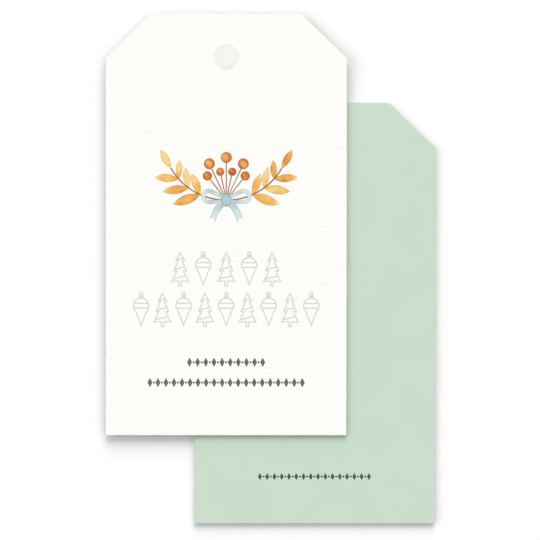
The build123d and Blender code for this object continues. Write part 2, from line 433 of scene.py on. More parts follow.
def paper_tooth_group():
    """The felt marks and fibres of a paper as a height, and a faint mottle of its tone."""
    tree, given, result = new_group(
        "paper tooth",
        "ShaderNodeTree",
        {"Felt": "Float", "Fibre": "Float"},
        {"Height": "Float", "Mottle": "Float"},
    )
    place = object_place(tree)
    fibres = noise(place, FIBRE_CELL, detail=FINE_DETAIL)
    plug(result.inputs["Height"], fibres * given["Fibre"] - felt_dashes(place) * given["Felt"])
    mottle = noise(place, (MOTTLE_SIZE,) * 3)
    mottle = mottle * (1 - MOTTLE_FIBRE_SHARE) + fibres * MOTTLE_FIBRE_SHARE
    plug(result.inputs["Mottle"], smooth_step(mottle, *MOTTLE_RISE))
    return tree


def wash_group():
    """Watercolour: pigment that pools from pale to deep, gathers along its rim and leaves out a reserve."""
    tree, given, result = new_group(
        "watercolour wash",
        "ShaderNodeTree",
        {
            "Pale": "Color", "Middle": "Color", "Deep": "Color",
            "Pooling": "Float", "Rim": "Float", "Reserve": "Float",
        },
        {"Color": "Color"},
    )
    place = object_place(tree)
    pools = noise(place, (POOL_SIZE,) * 3, detail=FINE_DETAIL)
    grains = noise(place, (GRAIN_SIZE,) * 3)
    load = pools * POOL_LOAD + grains * GRAIN_LOAD + PALE_LOAD + given["Pooling"]
    body = mix_colours(smooth_step(load, *MIDDLE_RISE), given["Pale"], given["Middle"])
    pooled = mix_colours(smooth_step(load, *DEEP_RISE), body, given["Deep"])
    edge = smooth_step(given["Rim"] + grains * RIM_GRAIN, *RIM_RISE)
    rimmed = mix_colours(edge * RIM_STRENGTH, pooled, given["Deep"])
    plug(result.inputs["Color"], mix_colours(given["Reserve"], rimmed, given["Pale"]))
    return tree


def press_group():
    """Printing ink: a colour that thins a little where the paper's tooth holds it off."""
    tree, given, result = new_group(
        "press ink",
        "ShaderNodeTree",
        {"Ink": "Color", "Thin": "Color"},
        {"Color": "Color"},
    )
    place = object_place(tree)
    tooth = noise(place, PRESS_TOOTH_CELL, detail=FINE_DETAIL)
    drift = noise(place, (PRESS_DRIFT_SIZE,) * 3)
    held_off = smooth_step(tooth + drift * PRESS_DRIFT_WEIGHT, *PRESS_THIN_RISE)
    plug(result.inputs["Color"], mix_colours(held_off, given["Ink"], given["Thin"]))
    return tree


PAPER_TOOTH = paper_tooth_group()
WASH = wash_group()
PRESS = press_group()


# Materials


def matt_material(name, felt, fibre, bump, roughness):
    """A matt material with a paper's tooth, its shader, and the tooth's mottle."""
    material = bpy.data.materials.new(name)
    material.use_nodes = True
    tree = material.node_tree
    shader = tree.nodes["Principled BSDF"]
    shader.inputs["Specular IOR Level"].default_value = MATT_SPECULAR
    tooth = add_node(tree, "ShaderNodeGroup", {"Felt": felt, "Fibre": fibre}, node_tree=PAPER_TOOTH)
    height = Field(tooth.outputs["Height"])
    tilt = new_field(tree, "ShaderNodeBump", {"Height": height, "Distance": bump}, output="Normal")
    plug(shader.inputs["Roughness"], height * TOOTH_ROUGHNESS + roughness)
    plug(shader.inputs["Normal"], tilt)
    return material, shader, Field(tooth.outputs["Mottle"])


def paper_material(name, tone, mottled_tone, edge_tone_and_shade, felt, fibre, bump):
    """A paper whose cut edge is darker, partly its own greyer tone and partly painted shade of its rough
    fibres, and streaked by the layers of its fibres.
    """
    material, shader, mottle = matt_material(name, felt, fibre, bump, PAPER_ROUGHNESS)
    surface = mix_colours(mottle, tone, mottled_tone)
    streaks = noise(object_place(material.node_tree), STREAK_CELL) + STREAK_BASE
    # Faces turned aside take the edge tone: partly the cut edge's own greyer colour, partly painted shade
    # of its fibres
    cut = attribute(material.node_tree, "cut")
    plug(shader.inputs["Base Color"], mix_colours(cut * streaks, surface, edge_tone_and_shade))
    return material


def wash_material(name, pale, middle, deep, stroke):
    """A watercolour print. The stroke gives its pooling, rim and reserve from the print's attributes."""
    material, shader, _ = matt_material(name, **WASH_SURFACE)
    tree = material.node_tree
    values = {"Pale": pale, "Middle": middle, "Deep": deep, **stroke(tree)}
    plug(shader.inputs["Base Color"], new_field(tree, "ShaderNodeGroup", values, node_tree=WASH))
    return material


def press_material(name, ink, thin):
    """A print in one flat ink."""
    material, shader, _ = matt_material(name, **PRESS_SURFACE)
    values = {"Ink": ink, "Thin": thin}
    printed = new_field(material.node_tree, "ShaderNodeGroup", values, node_tree=PRESS)
    plug(shader.inputs["Base Color"], printed)
    return material


def leaf_stroke(tree):
    """Each leaf has a load of its own, holds more pigment at its base, and keeps a pale vein."""
    along = attribute(tree, "along")
    across = attribute(tree, "across").math("ABSOLUTE")
    vein = (1 - smooth_step(across, *LEAF_VEIN_FADE)) * (1 - along)
    return {
        "Pooling": attribute(tree, "tint") * LEAF_TINT_LOAD + along * LEAF_TIP_LOAD + LEAF_LOAD,
        "Rim": across,
        "Reserve": vein * LEAF_VEIN_STRENGTH,
    }


def berry_stroke(tree):
    """A berry darkens towards its rim and keeps a pale spot at its upper left."""
    right = attribute(tree, "right")
    up = attribute(tree, "up")
    from_centre = hypotenuse(right, up)
    from_spot = hypotenuse(right - BERRY_SPOT_RIGHT, up - BERRY_SPOT_UP)
    spot = 1 - smooth_step(from_spot, *BERRY_SPOT_FADE)
    return {
        "Pooling": attribute(tree, "tint") * BERRY_TINT_LOAD + from_centre * BERRY_RIM_LOAD,
        "Rim": from_centre,
        "Reserve": spot * BERRY_SPOT_STRENGTH,
    }


def bow_stroke(tree):
    """The ribbon darkens towards the knot."""
    return {
        "Pooling": (1 - attribute(tree, "along")) * BOW_KNOT_LOAD,
        "Rim": attribute(tree, "across").math("ABSOLUTE"),
        "Reserve": 0.0,
    }


def stem_stroke(tree):
    """A stem holds a little more pigment towards its far end."""
    return {"Pooling": attribute(tree, "along") * STEM_END_LOAD + STEM_LOAD, "Rim": 0.0, "Reserve": 0.0}


IVORY_PAPER = paper_material(
    "ivory paper",
    tone=colour(254, 253, 250),
    mottled_tone=colour(253, 252, 248),
    edge_tone_and_shade=colour(240, 236, 226),
    felt=1.0,
    fibre=0.1,
    bump=0.045 * MM,
)
MINT_PAPER = paper_material(
    "mint paper",
    tone=colour(204, 223, 205),
    mottled_tone=colour(202, 221, 203),
    edge_tone_and_shade=colour(186, 208, 188),
    felt=0.0,
    fibre=0.5,
    bump=0.006 * MM,
)
GLUE = paper_material(
    "dried glue",
    tone=colour(206, 199, 182),
    mottled_tone=colour(196, 187, 168),
    edge_tone_and_shade=colour(190, 180, 160),
    felt=0.2,
    fibre=0.8,
    bump=0.003 * MM,
)
LEAF_INK = wash_material(
    "leaf wash",
    pale=colour(247, 216, 142),
    middle=colour(239, 182, 90),
    deep=colour(201, 115, 46),
    stroke=leaf_stroke,
)
STEM_INK = wash_material(
    "stem wash",
    pale=colour(186, 128, 76),
    middle=colour(166, 104, 56),
    deep=colour(140, 80, 40),
    stroke=stem_stroke,
)
BERRY_INK = wash_material(
    "berry wash",
    pale=colour(240, 180, 104),
    middle=colour(208, 118, 50),
    deep=colour(176, 84, 28),
    stroke=berry_stroke,
)
BOW_INK = wash_material(
    "bow wash",
    pale=colour(216, 228, 224),
    middle=colour(178, 207, 209),
    deep=colour(126, 168, 178),
    stroke=bow_stroke,
)
ORNAMENT_INK = press_material("ornament ink", ink=colour(212, 217, 210), thin=colour(228, 232, 226))
LOZENGE_INK = press_material("lozenge ink", ink=colour(96, 100, 96), thin=colour(126, 130, 126))
BACK_LINE_INK = press_material("back line ink", ink=colour(64, 85, 67), thin=colour(92, 114, 95))


# Outlines


def arc_points(centre, radius, start, sweep, steps):
    return [
        centre + Vector((cos(start + sweep * step / steps), sin(start + sweep * step / steps))) * radius
        for step in range(steps + 1)
    ]


def ring_points(centre, radius, steps):
    return arc_points(centre, radius, 0, 2 * pi, steps)[:-1]


def mirrored(corners):
    """The same corners on the other side of the middle line, in the order that carries an outline on."""
    return [Vector((-corner.x, corner.y)) for corner in reversed(corners)]


def bridge(faces, inner, outer):
    """Joins two closed rings of points, the outer one further out or lower."""
    for index, point in enumerate(inner):
        following = (index + 1) % len(inner)
        faces.append((point, outer[index], outer[following], inner[following]))


# Die-cut papers


def tag_outline(inset):
    """Corners of the tag's outline, drawn in by inset, counter-clockwise."""
    outward = Vector((CORNER_CUT_DOWN, CORNER_CUT_ACROSS)).normalized()
    reach = outward.dot(Vector((TAG_WIDTH / 2, TAG_LENGTH / 2 - CORNER_CUT_DOWN))) - inset
    half_width = TAG_WIDTH / 2 - inset
    half_length = TAG_LENGTH / 2 - inset
    right_side = [
        Vector((half_width, -half_length)),
        Vector((half_width, (reach - outward.x * half_width) / outward.y)),
        Vector(((reach - outward.y * half_length) / outward.x, half_length)),
    ]
    return right_side + mirrored(right_side)


def sheet_mesh(name, thickness, roll, paper):
    """A die-cut sheet with its show face up, a rolled edge and its hidden face at z = 0."""
    turns = [step / ROLL_STEPS * pi / 2 for step in range(ROLL_STEPS + 1)]
    profile = [(roll * (1 - sin(turn)), thickness - roll * (1 - cos(turn))) for turn in turns]
    points = []
    rings = []
    for inset, z in profile + [(0.0, 0.0)]:
        hole_rim = ring_points(HOLE_CENTRE, HOLE_RADIUS + inset * HOLE_ROLL_SHARE, HOLE_STEPS)
        ring_pair = []
        for ring in (tag_outline(inset), hole_rim):
            first = len(points)
            points.extend((x, y, z) for x, y in ring)
            ring_pair.append(range(first, len(points)))
        rings.append(ring_pair)
    faces = []
    for (edge, hole), (next_edge, next_hole) in zip(rings, rings[1:]):
        bridge(faces, edge, next_edge)
        bridge(faces, next_hole, hole)
    mesh = bpy.data.meshes.new(name)
    mesh.from_pydata(points, [], faces)
    fill_flat_faces(mesh)
    turned_aside = [1 - abs(face.normal.z) for face in mesh.polygons]
    mesh.attributes.new("cut", "FLOAT", "FACE").data.foreach_set("value", turned_aside)
    mesh.materials.append(paper)
    mesh.shade_smooth()
    mesh.set_sharp_from_angle(angle=SHARP_EDGE)
    return mesh


def fill_flat_faces(mesh):
    """Fills between the open rings at the top and at the bottom of a sheet."""
    shell = bmesh.new()
    shell.from_mesh(mesh)
    for looks_up in (True, False):
        rim_z = max(v.co.z for v in shell.verts) if looks_up else min(v.co.z for v in shell.verts)
        rim = [e for e in shell.edges if e.is_boundary and all(abs(v.co.z - rim_z) < WELD for v in e.verts)]
        filled = bmesh.ops.triangle_fill(shell, edges=rim, use_beauty=True)["geom"]
        flat = [face for face in filled if isinstance(face, bmesh.types.BMFace)]
        for face in flat:
            face.normal_update()
        bmesh.ops.reverse_faces(shell, faces=[face for face in flat if (face.normal.z > 0) != looks_up])
    shell.to_mesh(mesh)
    shell.free()


# Flat drawings


def flat_mesh(name, points, faces, **attributes):
    """Flat faces that look up, with a value for each point under each attribute's name."""
    mesh = bpy.data.meshes.new(name)
    mesh.from_pydata([(*point, 0.0)[:3] for point in points], [], faces)
    for label, values in attributes.items():
        mesh.attributes.new(label, "FLOAT", "POINT").data.foreach_set("value", values)
    return mesh


class Drawing:
    """Flat strokes collected into one mesh."""

    def __init__(self):
        self.points = []
        self.faces = []

    def add(self, points, faces):
        first = len(self.points)
        self.points.extend(points)
        self.faces.extend(tuple(first + index for index in face) for face in faces)

    def add_box(self, centre, half_length, half_height, slant=0.0):
        """A filled stroke, a level under the outlines that it meets."""
        along = Vector((cos(slant), sin(slant))) * half_length
        up = Vector((-sin(slant), cos(slant))) * half_height
        corners = (centre - along - up, centre + along - up, centre + along + up, centre - along + up)
        self.add([(*corner, -FILL_LEVEL * INK_STEP) for corner in corners], [(0, 1, 2, 3)])

    def add_outline(self, corners, line):
        """The line just inside a counter-clockwise outline."""
        count = len(corners)
        inward = []
        for index, corner in enumerate(corners):
            edge = (corners[(index + 1) % count] - corner).normalized()
            inward.append(Vector((-edge.y, edge.x)))
        inner = [
            corner + (inward[index - 1] + inward[index]) * line / (1 + inward[index - 1].dot(inward[index]))
            for index, corner in enumerate(corners)
        ]
        faces = []
        bridge(faces, range(count), range(count, 2 * count))
        self.add(inner + list(corners), faces)

    def mesh(self, name):
        return flat_mesh(name, self.points, self.faces)


def chord(corners, centre, slant):
    """Where a slanted line through a point leaves a shape, to the left and to the right of the point."""
    along = Vector((cos(slant), sin(slant)))
    up = Vector((-along.y, along.x))
    reaches = []
    for index, corner in enumerate(corners):
        start = corners[index - 1] - centre
        end = corner - centre
        start_up = start.dot(up)
        end_up = end.dot(up)
        if start_up * end_up < 0:
            crossing = start + (end - start) * (start_up / (start_up - end_up))
            reaches.append(crossing.dot(along))
    left = max(reach for reach in reaches if reach < 0)
    right = min(reach for reach in reaches if reach > 0)
    return centre + along * left, centre + along * right


def fir_tree_mesh():
    """An outlined fir tree with slanted garlands, standing on y = 0."""
    right_side = [Vector((x * TREE_WIDTH / 2, y * ORNAMENT_HEIGHT)) for x, y in TREE_OUTLINE_SHARES]
    outline = right_side + mirrored(right_side[:-1])
    drawing = Drawing()
    drawing.add_outline(outline, ORNAMENT_LINE)
    for height_share in TREE_GARLAND_HEIGHT_SHARES:
        left, right = chord(outline, Vector((0, height_share * ORNAMENT_HEIGHT)), TREE_GARLAND_SLANT)
        half_length = (right - left).length / 2 - ORNAMENT_LINE / 2
        drawing.add_box((left + right) / 2, half_length, ORNAMENT_LINE / 2, TREE_GARLAND_SLANT)
    return drawing.mesh("fir tree")


def glass_drop_mesh():
    """An outlined glass drop with two bands, a cap and a hanger, its tip at y = 0."""
    half_line = ORNAMENT_LINE / 2
    cap_top = ORNAMENT_HEIGHT - 2 * HANGER_RADIUS + half_line
    cap_foot = cap_top - CAP_HEIGHT
    centre = Vector((0, cap_foot + half_line - BALL_RADIUS))
    ball = arc_points(centre, BALL_RADIUS, BALL_ARC_START, BALL_ARC, BALL_STEPS)
    tip = Vector((0, 0))
    drawing = Drawing()
    drawing.add_outline(ball + [tip], ORNAMENT_LINE)
    for side in (-1, 1):
        rise = side * BALL_BAND_SPACING / 2
        half_length = sqrt(BALL_RADIUS**2 - rise**2) - half_line
        drawing.add_box(centre + Vector((0, rise)), half_length, half_line)
    drawing.add_box(Vector((0, cap_foot + CAP_HEIGHT / 2)), CAP_WIDTH / 2, CAP_HEIGHT / 2)
    hanger_centre = Vector((0, ORNAMENT_HEIGHT - HANGER_RADIUS))
    drawing.add_outline(ring_points(hanger_centre, HANGER_RADIUS, HANGER_STEPS), ORNAMENT_LINE)
    return drawing.mesh("glass drop")


# Steps that the printing trees share


def join(*geometries):
    node = add_node(geometries[0].tree, "GeometryNodeJoinGeometry")
    for geometry in geometries:
        plug(node.inputs[0], geometry)
    return Field(node.outputs[0])


def weld(geometry):
    return new_field(geometry.tree, "GeometryNodeMergeByDistance", {"Geometry": geometry, "Distance": WELD})


def sink_ink_group():
    """Turns flat faces that look up into closed solids that go down by the depth."""
    tree, given, result = new_group(
        "sink ink",
        "GeometryNodeTree",
        {"Drawing": "Geometry", "Depth": "Float"},
        {"Ink": "Geometry"},
    )
    down = vector(tree, 0.0, 0.0, given["Depth"] * -1)
    sunk = {"Geometry": weld(given["Drawing"]), "Translation": down}
    floor = new_field(tree, "GeometryNodeTransform", sunk)
    raised = {"Mesh": floor, "Offset Scale": given["Depth"], "Individual": False}
    walls_and_top = new_field(tree, "GeometryNodeExtrudeMesh", raised)
    under = new_field(tree, "GeometryNodeFlipFaces", {"Mesh": floor})
    plug(result.inputs["Ink"], weld(join(walls_and_top, under)))
    return tree


SINK_INK = sink_ink_group()


def sink_ink(drawing, depth):
    inputs = {"Drawing": drawing, "Depth": depth}
    return new_field(drawing.tree, "GeometryNodeGroup", inputs, node_tree=SINK_INK)


def print_group(name, inputs):
    """A tree that makes a print, with the depth of its ink and the ink itself among its inputs."""
    all_inputs = {**inputs, "Depth": "Float", "Ink": "Material"}
    return new_group(name, "GeometryNodeTree", all_inputs, {"Print": "Geometry"})


def finish_print(result, geometry, ink):
    """Every print ends as real geometry with its ink."""
    tree = geometry.tree
    real = new_field(tree, "GeometryNodeRealizeInstances", {"Geometry": geometry})
    inked = new_field(tree, "GeometryNodeSetMaterial", {"Geometry": real, "Material": ink})
    plug(result.inputs["Print"], inked)


def position(tree):
    return new_field(tree, "GeometryNodeInputPosition")


def index_field(tree):
    return new_field(tree, "GeometryNodeInputIndex")


def store(geometry, name, value, domain="POINT"):
    inputs = {"Geometry": geometry, "Name": name, "Value": value}
    return new_field(geometry.tree, "GeometryNodeStoreNamedAttribute", inputs, domain=domain)


def stored(tree, name):
    return new_field(tree, "GeometryNodeInputNamedAttribute", {"Name": name}, output="Attribute")


def strip(tree, points_along, points_across):
    """A unit strip with its along (0 to 1) and across (-1 to 1) stored, and these two as fields."""
    size = {"Size X": 1.0, "Size Y": 1.0, "Vertices X": points_along, "Vertices Y": points_across}
    grid = new_field(tree, "GeometryNodeMeshGrid", size)
    x, y = x_and_y(position(tree))
    along = x + 0.5
    across = y * 2
    return store(store(grid, "along", along), "across", across), along, across


def polygon(tree, corners, radius, fill_type="NGON"):
    inputs = {"Vertices": corners, "Radius": radius}
    return new_field(tree, "GeometryNodeMeshCircle", inputs, fill_type=fill_type)


def move_points(geometry, x, y):
    inputs = {"Geometry": geometry, "Position": vector(geometry.tree, x, y, 0.0)}
    return new_field(geometry.tree, "GeometryNodeSetPosition", inputs)


def new_points(tree, count, x, y):
    return new_field(tree, "GeometryNodePoints", {"Count": count, "Position": vector(tree, x, y, 0.0)})


def row_points(tree, count, span):
    """Evenly spaced points along X, centred."""
    return new_points(tree, count, (index_field(tree) / (count - 1) - 0.5) * span, 0.0)


def copies(points, item, turn=0.0, scale_x=1.0, scale_y=1.0, selection=True):
    """A copy of the item on each point of the selection."""
    tree = points.tree
    inputs = {
        "Points": points,
        "Selection": selection,
        "Instance": item,
        "Rotation": new_field(tree, "FunctionNodeEulerToRotation", {"Euler": vector(tree, 0.0, 0.0, turn)}),
        "Scale": vector(tree, scale_x, scale_y, 1.0),
    }
    return new_field(tree, "GeometryNodeInstanceOnPoints", inputs)


def random_tint(instances, seed):
    """Gives each copy a tint of its own between 0 and 1."""
    tree = instances.tree
    inputs = {"W": index_field(tree) + seed}
    tint = new_field(tree, "ShaderNodeTexWhiteNoise", inputs, noise_dimensions="1D", output="Value")
    return store(instances, "tint", tint, domain="INSTANCE")


# Printing trees


def leaf_tree():
    """Two branches' leaves: pairs that shrink along each branch, and one leaf at its tip."""
    tree, given, result = print_group(
        "laurel leaves",
        {
            "Stem Radius": "Float", "Stem Arc": "Float", "First Pair": "Float", "Pairs": "Int",
            "Leaf Length": "Float", "Leaf Width": "Float", "Spread": "Float", "Seat": "Float",
            "Inner Share": "Float", "Tip Share": "Float", "Seed": "Float",
        },
    )
    blade, along, across = strip(tree, LEAF_POINTS_ALONG, LEAF_POINTS_ACROSS)
    bulge = along * (1 - along) * 4
    blade = move_points(blade, along * given["Leaf Length"], across * bulge * given["Leaf Width"] * 0.5)
    leaf = sink_ink(blade, given["Depth"])

    # Places are counted off the branches by turns, right and left, outer leaf and inner leaf
    index = index_field(tree)
    side = 1 - index % 2 * 2
    order = (index / 2).math("FLOOR")
    pair = (order / 2).math("FLOOR")
    inner = order % 2
    share = pair / given["Pairs"]
    bend = given["First Pair"] + share * (given["Stem Arc"] - given["First Pair"])
    before_tip = pair.math("LESS_THAN", given["Pairs"])
    heading = bend + (inner * 2 - 1) * before_tip * given["Spread"]
    size = (1 - share * (1 - given["Tip Share"])) * (1 - inner * (1 - given["Inner Share"]))
    x = given["Stem Radius"] * bend.math("SINE") - given["Seat"] * heading.math("COSINE")
    y = given["Stem Radius"] * (1 - bend.math("COSINE")) - given["Seat"] * heading.math("SINE")
    turn = heading * side + (1 - side) * (pi / 2)
    points = new_points(tree, given["Pairs"] * 4 + 2, x * side, y)
    leaves = random_tint(copies(points, leaf, turn, size, size), given["Seed"])
    finish_print(result, leaves, given["Ink"])
    return tree


def berry_tree():
    """A disc of ink on each berry point, at that point's size."""
    tree, given, result = print_group("berries", {"Places": "Geometry", "Radius": "Float", "Seed": "Float"})
    x, y = x_and_y(position(tree))
    berry = polygon(tree, BERRY_STEPS, given["Radius"], fill_type="TRIANGLE_FAN")
    berry = store(berry, "right", x / given["Radius"])
    berry = store(berry, "up", y / given["Radius"])
    size = stored(tree, "size")
    berries = copies(given["Places"], sink_ink(berry, given["Depth"]), 0.0, size, size)
    finish_print(result, random_tint(berries, given["Seed"]), given["Ink"])
    return tree


def stem_tree():
    """The two branches in one arc, and a stalk from the knot to each berry point."""
    tree, given, result = print_group(
        "branches and stalks",
        {
            "Places": "Geometry", "Stem Radius": "Float", "Stem Arc": "Float", "Stem Line": "Float",
            "Stalk Foot": "Float", "Stalk Line": "Float",
        },
    )
    branch, along, across = strip(tree, STEM_POINTS_ALONG, LINE_POINTS_ACROSS)
    turn = (along * 2 - 1) * given["Stem Arc"] - pi / 2
    radius = given["Stem Radius"] - across * given["Stem Line"] * 0.5
    x = radius * turn.math("COSINE")
    y = radius * turn.math("SINE") + given["Stem Radius"]
    branches = sink_ink(move_points(branch, x, y), given["Depth"])

    stalk, stalk_along, stalk_across = strip(tree, STALK_POINTS_ALONG, LINE_POINTS_ACROSS)
    stalk = move_points(stalk, stalk_along, stalk_across * given["Stalk Line"] * 0.5)
    stalk = sink_ink(stalk, given["Depth"])
    foot = given["Stalk Foot"]
    place = position(tree)
    right, up = x_and_y(place)
    heading = up.math("ARCTAN2", right)
    points = new_field(tree, "GeometryNodeMeshToPoints", {"Mesh": given["Places"], "Position": place})
    points = store(points, "reach", hypotenuse(right, up) - foot)
    points = store(points, "heading", heading)
    points = move_points(points, heading.math("COSINE") * foot, heading.math("SINE") * foot)
    stalks = copies(points, stalk, stored(tree, "heading"), stored(tree, "reach"))
    finish_print(result, join(branches, stalks), given["Ink"])
    return tree


def ornament_tree():
    """A centred row that takes two ornaments by turns."""
    tree, given, result = print_group(
        "ornament row",
        {"First": "Object", "Second": "Object", "Count": "Int", "Span": "Float"},
    )
    points = row_points(tree, given["Count"], given["Span"])
    is_second = index_field(tree) % 2
    rows = []
    for label, chosen in (("First", 1 - is_second), ("Second", is_second)):
        drawing = new_field(tree, "GeometryNodeObjectInfo", {"Object": given[label]}, output="Geometry")
        rows.append(copies(points, sink_ink(drawing, given["Depth"]), selection=chosen))
    finish_print(result, join(*rows), given["Ink"])
    return tree


def lozenge_tree():
    """A centred line of lozenges with a dot between each two."""
    tree, given, result = print_group(
        "lozenge line",
        {
            "Count": "Int", "Span": "Float", "Lozenge Width": "Float", "Lozenge Height": "Float",
            "Dot Diameter": "Float",
        },
    )
    x, y = x_and_y(position(tree))
    square = polygon(tree, LOZENGE_CORNERS, 0.5)
    lozenge = move_points(square, x * given["Lozenge Width"], y * given["Lozenge Height"])
    dot = polygon(tree, DOT_STEPS, given["Dot Diameter"] * 0.5)
    gap_count = given["Count"] - 1
    places = row_points(tree, given["Count"], given["Span"])
    gaps = row_points(tree, gap_count, given["Span"] * (gap_count - 1) / gap_count)
    lozenges = copies(places, sink_ink(lozenge, given["Depth"]))
    dots = copies(gaps, sink_ink(dot, given["Depth"]))
    finish_print(result, join(lozenges, dots), given["Ink"])
    return tree


def drawing_tree():
    """A given flat shape, sunk into the paper as it is."""
    tree, given, result = print_group("drawn shape", {"Drawing": "Geometry"})
    finish_print(result, sink_ink(given["Drawing"], given["Depth"]), given["Ink"])
    return tree


# The laurel spray's berry points and bow


def berry_points():
    """One point for each berry, around the knot, with its size share."""
    places = [
        Vector((sin(radians(fan)), cos(radians(fan)))) * share * STALK_LENGTH
        for fan, share in zip(BERRY_FAN_DEG, BERRY_STALK_SHARES)
    ]
    return flat_mesh("berry points", places, [], size=BERRY_SIZE_SHARES)


class Bow:
    """The ribbon's flat faces, with how far each point is along and across its ribbon."""

    def __init__(self):
        self.points = []
        self.faces = []
        self.along = []
        self.across = []

    def add(self, points, faces, along, across, turn, level):
        """Adds a piece to the right, turned about the knot, and its mirror image a little lower."""
        spin = Matrix.Rotation(turn, 2)
        for side, steps_down in ((1, level), (-1, level + MIRROR_LEVEL_DROP)):
            first = len(self.points)
            for point in points:
                x, y = spin @ point
                self.points.append((side * x, y, -steps_down * INK_STEP))
            self.faces.extend(tuple(first + index for index in face)[::side] for face in faces)
            self.along.extend(along)
            self.across.extend(across)

    def mesh(self):
        return flat_mesh("bow", self.points, self.faces, along=self.along, across=self.across)


def add_loop(bow):
    """A drop-shaped loop of ribbon: two arcs and the straight runs between them."""
    knot = Vector((0, 0))
    far_centre = Vector((LOOP_LENGTH - LOOP_WIDTH / 2, 0))
    far_radius = (LOOP_WIDTH - LOOP_BAND) / 2
    near_radius = (RIBBON_WIDTH - LOOP_BAND) / 2
    lean = pi / 2 + asin((far_radius - near_radius) / far_centre.x)
    rings = []
    for side in (-1, 1):
        reach = side * LOOP_BAND / 2
        near_reach = max(near_radius + reach, 0.0)
        far_arc = arc_points(far_centre, far_radius + reach, -lean, 2 * lean, LOOP_STEPS)
        near_arc = arc_points(knot, near_reach, lean, 2 * (pi - lean), LOOP_NEAR_STEPS)
        rings.append(far_arc + near_arc)
    count = len(rings[0])
    faces = []
    bridge(faces, range(count), range(count, 2 * count))
    points = rings[0] + rings[1]
    along = [min(point.length / LOOP_LENGTH, 1.0) for point in points]
    across = [-1.0] * count + [1.0] * count
    bow.add(points, faces, along, across, LOOP_RISE, LOOP_LEVEL)


def add_tail(bow):
    """A sagging end of ribbon with a notched tip."""
    shares = [step / RIBBON_TAIL_STEPS for step in range(RIBBON_TAIL_STEPS + 1)]
    row = len(RIBBON_LANE_EDGES)
    points = []
    for share in shares:
        for across in RIBBON_LANE_EDGES:
            x = share * (RIBBON_TAIL_LENGTH - RIBBON_NOTCH * (1 - abs(across)))
            x_share = x / RIBBON_TAIL_LENGTH
            sag = RIBBON_TAIL_SAG * 4 * x_share * (1 - x_share)
            points.append(Vector((x, across * RIBBON_WIDTH / 2 + sag)))
    faces = []
    for step in range(RIBBON_TAIL_STEPS):
        for lane in range(row - 1):
            corner = step * row + lane
            faces.append((corner, corner + row, corner + row + 1, corner + 1))
    along = [share for share in shares for _ in RIBBON_LANE_EDGES]
    across = RIBBON_LANE_EDGES * len(shares)
    bow.add(points, faces, along, across, -RIBBON_TAIL_DROP, TAIL_LEVEL)


def add_knot(bow):
    """A filled oval over the ends of the loops and tails."""
    middle = len(bow.points)
    bow.points.append((0.0, 0.0, 0.0))
    for step in range(KNOT_STEPS):
        turn = 2 * pi * step / KNOT_STEPS
        bow.points.append((KNOT_WIDTH / 2 * cos(turn), KNOT_HEIGHT / 2 * sin(turn), 0.0))
        bow.faces.append((middle, middle + 1 + step, middle + 1 + (step + 1) % KNOT_STEPS))
    bow.along.extend([KNOT_MIDDLE_ALONG] + [0.0] * KNOT_STEPS)
    bow.across.extend([0.0] + [1.0] * KNOT_STEPS)


def bow_mesh():
    bow = Bow()
    add_loop(bow)
    add_tail(bow)
    add_knot(bow)
    return bow.mesh()


# Laying the pieces on the tags


def link_object(name, data):
    item = bpy.data.objects.new(name, data)
    bpy.context.scene.collection.objects.link(item)
    return item


def grown_mesh(tree, values, seed_mesh=None):
    """The plain mesh that a tree makes from a seed mesh with these values."""
    seed = link_object(tree.name, seed_mesh or bpy.data.meshes.new(tree.name))
    modifier = seed.modifiers.new(tree.name, "NODES")
    modifier.node_group = tree
    for item in tree.interface.items_tree:
        if item.in_out == "INPUT" and item.name in values:
            modifier[item.identifier] = values[item.name]
    depsgraph = bpy.context.evaluated_depsgraph_get()
    mesh = bpy.data.meshes.new_from_object(
        seed.evaluated_get(depsgraph), preserve_all_data_layers=True, depsgraph=depsgraph
    )
    bpy.data.objects.remove(seed)
    return mesh


def lay(name, node, mesh, tag):
    """Puts a piece, made in a tag's own frame, on that tag in place of a solid."""
    mesh.transform(TAG_PLACES[tag])
    piece = link_object(f"{tag}_{name}", mesh)
    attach(piece, f"{tag}_tag")
    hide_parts(f"{tag}_{node}")


def lay_papers():
    """Lays the two papers of each tag, and colours the glue between them."""
    paper_drop = PAPER_LEVEL * INK_STEP
    face_sheet = sheet_mesh("face paper", FACE_THICKNESS - paper_drop, FACE_EDGE_ROLL, IVORY_PAPER)
    face_sheet.transform(Matrix.Translation((0, 0, TAG_THICKNESS - FACE_THICKNESS)))
    back_sheet = sheet_mesh("back paper", BACK_THICKNESS - paper_drop, BACK_EDGE_ROLL, MINT_PAPER)
    back_sheet.transform(Matrix.Translation((0, 0, BACK_THICKNESS)) @ FLIP_OVER)
    for tag in TAG_PLACES:
        lay("face_paper", "face_sheet", face_sheet.copy(), tag)
        lay("back_paper", "backing_sheet", back_sheet.copy(), tag)
        glue_film = frame["nodes"][f"{tag}_glue_film"]
        glue_film.data.materials.clear()
        glue_film.data.materials.append(GLUE)


def lay_print(name, node, mesh, y, level=0):
    """Sinks a print into the face of both tags, level steps under the uppermost ink."""
    mesh.transform(Matrix.Translation((0, y, TAG_THICKNESS - level * INK_STEP)))
    for tag in TAG_PLACES:
        lay(name, node, mesh.copy(), tag)


